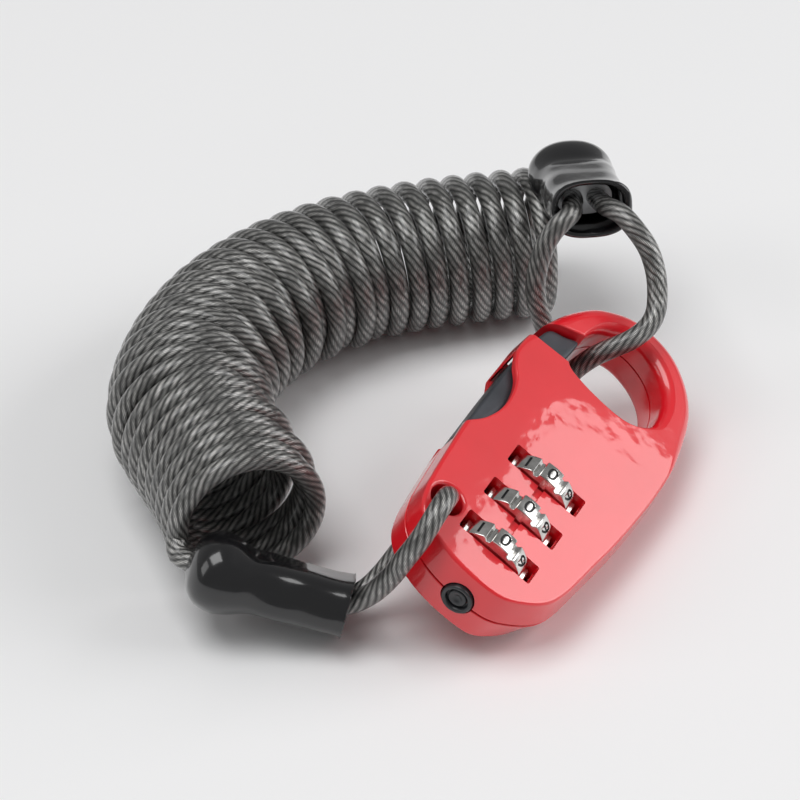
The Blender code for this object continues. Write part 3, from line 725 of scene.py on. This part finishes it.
# ------------------------------------------------------------------ cable
def far_lead_route():
    end = Vector((*COIL_ROUTE[0], COIL_HEIGHT))
    ahead = (end - Vector((*COIL_ROUTE[1], COIL_HEIGHT))).normalized()
    front = ahead.cross(Vector((0, 0, 1)))
    start, stop = (math.radians(a) for a in FAR_TURN)
    route = []
    steps = 44
    for k in range(steps + 1):
        share = k / steps
        angle = start + (stop - start) * share
        ease = max(0.0, 2 * share - 1) ** 2
        along = FAR_AHEAD[0] + (FAR_AHEAD[1] - FAR_AHEAD[0]) * ease
        around = Vector((0, 0, math.cos(angle))) + front * math.sin(angle)
        route.append(end + ahead * along + around * TURN_RADIUS)
    return route


def coil_route():
    """The turns from the near lead to the far lead, a right-handed helix round the coil's middle."""
    middle = catmull_rom([(x, y, COIL_HEIGHT) for x, y in reversed(COIL_ROUTE)], 40)
    first = (middle[1] - middle[0]).normalized()
    last = (middle[-1] - middle[-2]).normalized()
    middle = [middle[0] - first * 2.11] + middle + [middle[-1] + last * FAR_AHEAD[0]]
    travelled = [0.0]
    for a, b in zip(middle, middle[1:]):
        travelled.append(travelled[-1] + (b - a).length)
    total = travelled[-1]

    def spacing(s):
        """The turns touch over the near half and open out a little over the far half."""
        return TURN_SPACING + TURN_SPREAD * smoothstep(0.45, 0.75, s / total)

    samples = 4000
    turns = sum(total / samples / spacing((k + 0.5) * total / samples) for k in range(samples))
    start, stop = -90.0, 360.0 + FAR_TURN[0]
    whole = round(turns - (stop - start) / 360)
    sweep = math.radians(stop - start + 360 * whole)
    rate = sweep / turns
    route = []
    s = 0.0
    phase = math.radians(start)
    step = math.radians(TURN_STEP)
    index = 0
    while s < total - 1e-6:
        while index < len(travelled) - 2 and travelled[index + 1] <= s:
            index += 1
        t = (s - travelled[index]) / (travelled[index + 1] - travelled[index])
        centre = middle[index].lerp(middle[index + 1], t)
        lo, hi = max(0, index - 12), min(len(middle) - 1, index + 13)
        before = (middle[lo + 1] - middle[lo]).normalized()
        after = (middle[hi] - middle[hi - 1]).normalized()
        ahead = (middle[min(index + 6, len(middle) - 1)] - middle[max(index - 5, 0)]).normalized()
        bend = before.angle(after) / max(travelled[hi] - travelled[lo], 1)
        side = ahead.cross(Vector((0, 0, 1)))
        gap = spacing(s) * (1 - TURN_RADIUS * bend)
        squeeze = 0.5 * math.sqrt(max(0.0, (2 * CABLE_RADIUS) ** 2 - gap ** 2))
        squeeze *= max(0.0, math.sin(phase)) ** 1.5 * math.cos((phase - math.pi / 2) / 2)
        radius = TURN_RADIUS + squeeze
        around = Vector((0, 0, math.cos(phase))) + side * math.sin(phase)
        route.append(centre + around * radius)
        s += step / rate * spacing(s)
        phase += step
    return route, len(route) * TURN_STEP / 360


def cable_route():
    """The whole cable: near ferrule, near loop, coil, far lead, far loop, far ferrule."""
    near_frame = frame_along(*CAPS["near"])
    far_frame = frame_along(*CAPS["far"])
    loops, turns = coil_route()

    def side_of(cap_frame, point):
        return 1 if (cap_frame.inverted() @ Vector(point)).y > 0 else -1

    near_out = side_of(near_frame, NEAR_LOOP[0])
    near_back = side_of(near_frame, NEAR_LOOP[-1])
    far_out = side_of(far_frame, FAR_LOOP[0])
    start = [near_frame @ Vector(p) for p in NEAR_START[near_out]]
    inside = [near_frame @ Vector((15, near_back * 1.9, 0)),
              near_frame @ Vector((10, near_back * 1.6, 0)),
              near_frame @ Vector((5, near_back * 0.6, 0)), near_frame @ Vector((1.6, 0, 0))]
    out_far = [far_frame @ Vector((1.5, 0, 0)), far_frame @ Vector((5, far_out * 0.6, 0)),
               far_frame @ Vector((10, far_out * 1.7, 0))]
    end = [far_frame @ Vector((13, -far_out * 1.9, 0)), far_frame @ Vector((9, -far_out * 1.95, 0))]
    lead = [Vector(p) for p in reversed(NEAR_LEAD)]
    points = (start + [Vector(p) for p in NEAR_LOOP] + inside + lead[:-1] + loops
              + far_lead_route()[2:-1] + out_far + [Vector(p) for p in FAR_LOOP] + end)
    return points, turns


def even(points, step):
    """The same curve with evenly spaced points."""
    smooth = []
    for i in range(len(points) - 1):
        a, b, c, d = (points[min(max(i + k, 0), len(points) - 1)] for k in (-1, 0, 1, 2))
        pieces = max(2, int((c - b).length / 0.25))
        for k in range(pieces):
            t = k / pieces
            smooth.append(0.5 * (2 * b + (c - a) * t + (2 * a - 5 * b + 4 * c - d) * t ** 2
                                 + (3 * b - a - 3 * c + d) * t ** 3))
    smooth.append(points[-1])
    travelled = [0.0]
    for a, b in zip(smooth, smooth[1:]):
        travelled.append(travelled[-1] + (b - a).length)
    count = round(travelled[-1] / step) + 1
    result = []
    index = 0
    for k in range(count):
        target = travelled[-1] * k / (count - 1)
        while index < len(smooth) - 2 and travelled[index + 1] < target:
            index += 1
        t = (target - travelled[index]) / (travelled[index + 1] - travelled[index])
        result.append(smooth[index].lerp(smooth[index + 1], t))
    return result, travelled[-1]


def sheath(route, length, sides=18):
    """A round tube along the route, with its UV map in millimetres and turns."""
    count = len(route)
    tangents = [(route[min(i + 1, count - 1)] - route[max(i - 1, 0)]).normalized() for i in range(count)]
    across = tangents[0].orthogonal().normalized()
    bm = bmesh.new()
    layer = bm.loops.layers.uv.new("rope")
    rings = []
    for i, (point, tangent) in enumerate(zip(route, tangents)):
        across = (across - tangent * across.dot(tangent)).normalized()
        other = tangent.cross(across)
        rings.append([bm.verts.new(point + CABLE_RADIUS * (across * math.cos(2 * math.pi * k / sides)
                                                           + other * math.sin(2 * math.pi * k / sides)))
                      for k in range(sides)])
    for i, (low, high) in enumerate(zip(rings, rings[1:])):
        u0 = length * i / (count - 1)
        u1 = length * (i + 1) / (count - 1)
        for k in range(sides):
            j = (k + 1) % sides
            face = bm.faces.new((low[k], low[j], high[j], high[k]))
            for loop, uv in zip(face.loops, ((u0, k), (u0, k + 1), (u1, k + 1), (u1, k))):
                loop[layer].uv = (uv[0], uv[1] / sides)
    bm.faces.new(list(reversed(rings[0])))
    bm.faces.new(rings[-1])
    return bm


route, turns = cable_route()
route, cable_length = even(route, 0.9)
cable = place("wire_cable", sheath(route, cable_length), plain, ROPE, sharp=50)
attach(cable, "case")
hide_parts("coil", "near_lead", "far_lead", "near_loop", "far_loop")
print("cable length mm", round(cable_length, 1), "turns", round(turns, 2))


# ------------------------------------------------------------------ studio
bm = bmesh.new()
bmesh.ops.create_grid(bm, x_segments=8, y_segments=8, size=4.0)
floor = bpy.data.meshes.new("floor")
bm.to_mesh(floor)
bm.free()
floor.materials.append(floor_material())
floor = bpy.data.objects.new("floor", floor)
floor.location = (0, 0, -0.0001)
bpy.context.scene.collection.objects.link(floor)


def emitter(name, corners, radiance):
    """A softbox panel that lights the scene and shows in reflections, but not to the camera."""
    mesh = bpy.data.meshes.new(name)
    mesh.from_pydata([tuple(c) for c in corners], [], [tuple(range(len(corners)))])
    material = bpy.data.materials.new(name)
    material.use_nodes = True
    tree = material.node_tree
    tree.nodes.clear()
    glow = tree.nodes.new("ShaderNodeEmission")
    glow.inputs["Strength"].default_value = radiance
    out = tree.nodes.new("ShaderNodeOutputMaterial")
    tree.links.new(glow.outputs["Emission"], out.inputs["Surface"])
    mesh.materials.append(material)
    panel = bpy.data.objects.new(name, mesh)
    panel.visible_camera = False
    panel.visible_shadow = False
    bpy.context.scene.collection.objects.link(panel)
    return panel


def area_light(name, place_at, aim, size, radiance):
    data = bpy.data.lights.new(name, "AREA")
    data.shape = "RECTANGLE"
    data.size, data.size_y = size
    data.energy = radiance * math.pi * size[0] * size[1]
    light = bpy.data.objects.new(name, data)
    light.location = place_at
    light.rotation_euler = (Vector(place_at) - Vector(aim)).to_track_quat("Z", "Y").to_euler()
    bpy.context.scene.collection.objects.link(light)
    return light


# The key softbox stands behind and to the right, where the numbered face mirrors it
KEY_MIDDLE = Vector((0.3937, 0.6626, 0.4839))
KEY_ACROSS = Vector((-0.8612, 0.5082, 0))
KEY_UP = Vector((-0.2645, -0.4482, 0.8539))
KEY_CORNERS = [(0.017, 0.003), (-0.57, 0.547), (-0.85, -0.05), (-0.26, -0.5)]
emitter("key_softbox", [KEY_MIDDLE + KEY_ACROSS * a + KEY_UP * b for a, b in KEY_CORNERS], 3.8)
area_light("top_softbox", (-0.25, -0.25, 1.3), (0, 0, 0), (0.9, 0.9), 3.6)
area_light("fill_left", (-1.1, -0.9, 0.8), (0, 0, 0), (0.8, 0.8), 1.6)

world = bpy.data.worlds.new("studio")
world.use_nodes = True
world.node_tree.nodes["Background"].inputs["Color"].default_value = (1, 1, 1, 1)
world.node_tree.nodes["Background"].inputs["Strength"].default_value = 0.26
bpy.context.scene.world = world
bpy.context.scene.view_settings.view_transform = "Standard"

camera_data = bpy.data.cameras.new("camera")
camera_data.sensor_width = 36
camera_data.lens = 171.26
camera_data.clip_start = 0.02
camera_data.clip_end = 20
camera = bpy.data.objects.new("camera", camera_data)
camera.location = (0.17234, -0.4169, 0.36056)
aim = Vector((-0.034027, 0.018991, 0))
camera.rotation_euler = (camera.location - aim).to_track_quat("Z", "Y").to_euler()
bpy.context.scene.collection.objects.link(camera)
bpy.context.scene.camera = camera
